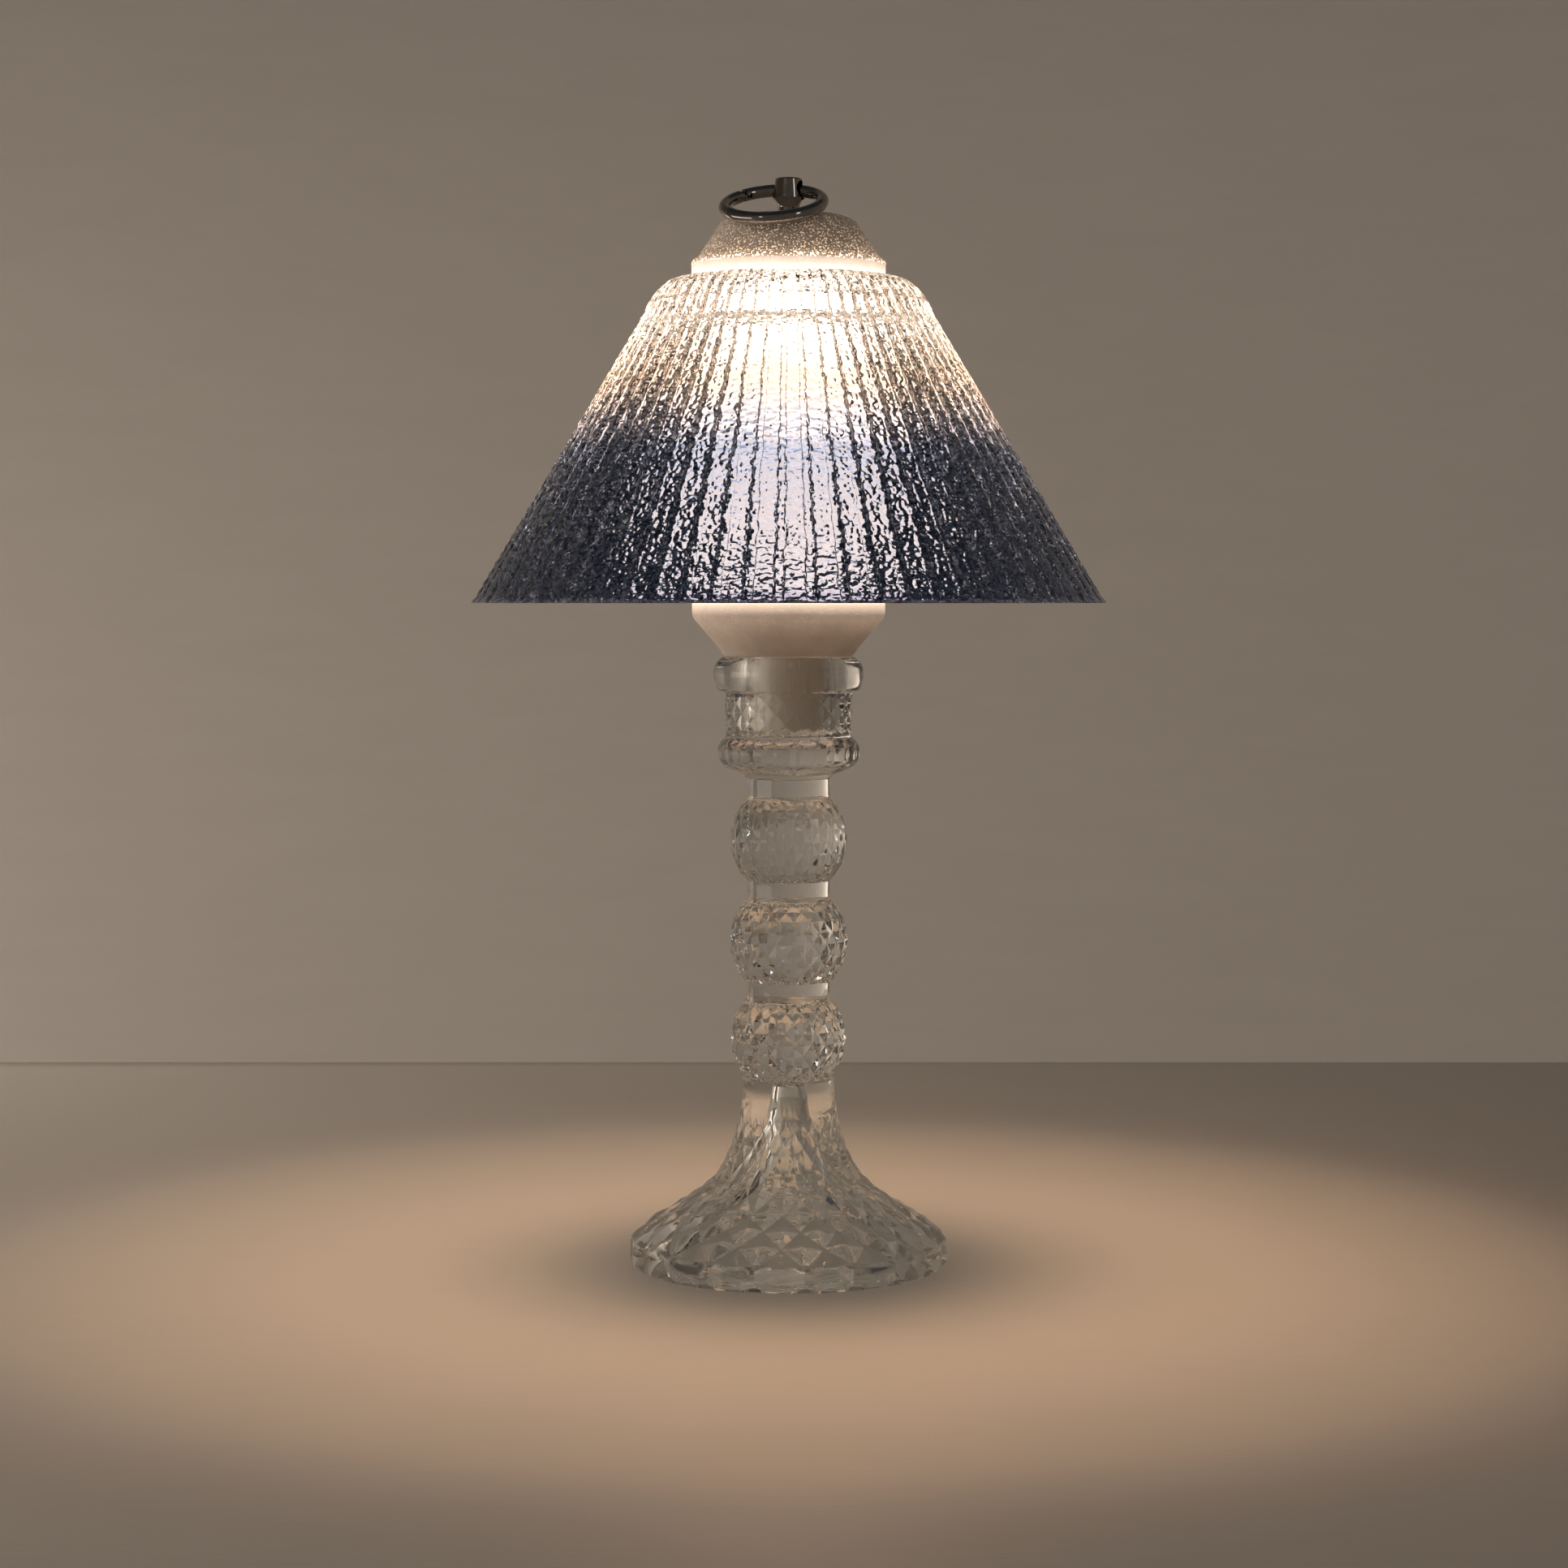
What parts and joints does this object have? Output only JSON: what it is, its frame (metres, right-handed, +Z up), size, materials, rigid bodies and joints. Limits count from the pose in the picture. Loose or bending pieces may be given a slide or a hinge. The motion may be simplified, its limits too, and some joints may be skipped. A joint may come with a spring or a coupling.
{
  "type": "cordless table lamp",
  "caption": "Cordless table lamp: pressed crystal candlestick, frosted lantern plugged into its cup, hanging ring and a pleated two-tone conical shade.",
  "frame": {"origin": "bottom centre of the foot, on the table", "axes": "+Z up the lamp's axis, -Y towards the front, +X to the right seen from the front"},
  "size_m": [0.1797, 0.1796, 0.3078],
  "materials": {
    "crystal_glass": "clear pressed crystal, polished",
    "frosted_plastic": "frosted translucent white, lit from inside",
    "frosted_cap": "frosted, sandblasted translucent grey-white",
    "white_board": "white solder mask on aluminium",
    "led_yellow": "yellow phosphor",
    "zinc_steel": "zinc plated",
    "brushed_alu": "brushed",
    "black_plastic": "moulded black",
    "cell_wrap": "shrink sleeve",
    "nickel": "nickel plated",
    "green_board": "green solder mask",
    "button_plastic": "moulded off-white",
    "lead_red": "red silicone insulation",
    "lead_white": "white silicone insulation",
    "gunmetal": "black nickel plated, polished",
    "clear_acrylic": "clear moulded acrylic",
    "shade_acrylic": "moulded acrylic, clear at the top and sprayed navy towards the rim"
  },
  "bodies": {
    "candlestick": {"candlestick_glass": "crystal_glass"},
    "lamp": {"frosted_diffuser": "frosted_plastic", "frosted_top_cap": "frosted_cap", "led_board": "white_board", "led_chips": "led_yellow", "led_board_screws": "zinc_steel", "battery_tube": "brushed_alu", "tube_end_cap": "brushed_alu", "tube_top_cap": "black_plastic", "battery_cell": "cell_wrap", "negative_contact": "nickel", "positive_contact": "nickel", "control_board": "green_board", "control_board_screws": "zinc_steel", "usb_c_port": "nickel", "tact_switch": "black_plastic", "battery_leads": "lead_red", "led_wires": "lead_white"},
    "button": {"power_button": "button_plastic", "switch_plunger": "black_plastic"},
    "post": {"hanging_post": "gunmetal", "post_washer": "zinc_steel", "post_screw": "zinc_steel"},
    "ring": {"ring_body": "gunmetal", "gate_pin": "gunmetal"},
    "gate": {"ring_gate": "gunmetal"},
    "collar": {"shade_collar": "clear_acrylic"},
    "shade": {"lamp_shade": "shade_acrylic"}
  },
  "joints": [
    {"name": "lamp_lift", "type": "slide", "parent": "candlestick", "child": "lamp", "axis": [0, 0, 1], "range_m": [0, 0.03]},
    {"name": "button_press", "type": "slide", "parent": "lamp", "child": "button", "axis": [0, -1, 0], "range_m": [0, 0.0004], "stiffness_N_per_m": 3000, "springref_m": -0.0003},
    {"name": "post_swivel", "type": "hinge", "parent": "lamp", "child": "post", "pos_m": [0, 0, 0.2974], "axis": [0, 0, 1], "continuous": true},
    {"name": "ring_flop", "type": "hinge", "parent": "post", "child": "ring", "pos_m": [0, 0, 0.3044], "axis": [-0.9466, 0.3167, 0.061], "range_deg": [0, 225]},
    {"name": "gate_hinge", "type": "hinge", "parent": "ring", "child": "gate", "pos_m": [-0.01251, -0.00137, 0.30287], "axis": [-0.0701, -0.3869, 0.9195], "range_deg": [0, 15], "stiffness_Nm_per_rad": 0.02, "springref_deg": -17.19},
    {"name": "shade_turn", "type": "hinge", "parent": "lamp", "child": "collar", "pos_m": [0, 0, 0.2699], "axis": [0, 0, 1], "continuous": true},
    {"name": "shade_lift", "type": "slide", "parent": "collar", "child": "shade", "axis": [0, 0, 1], "range_m": [0, 0.125]}
  ]
}
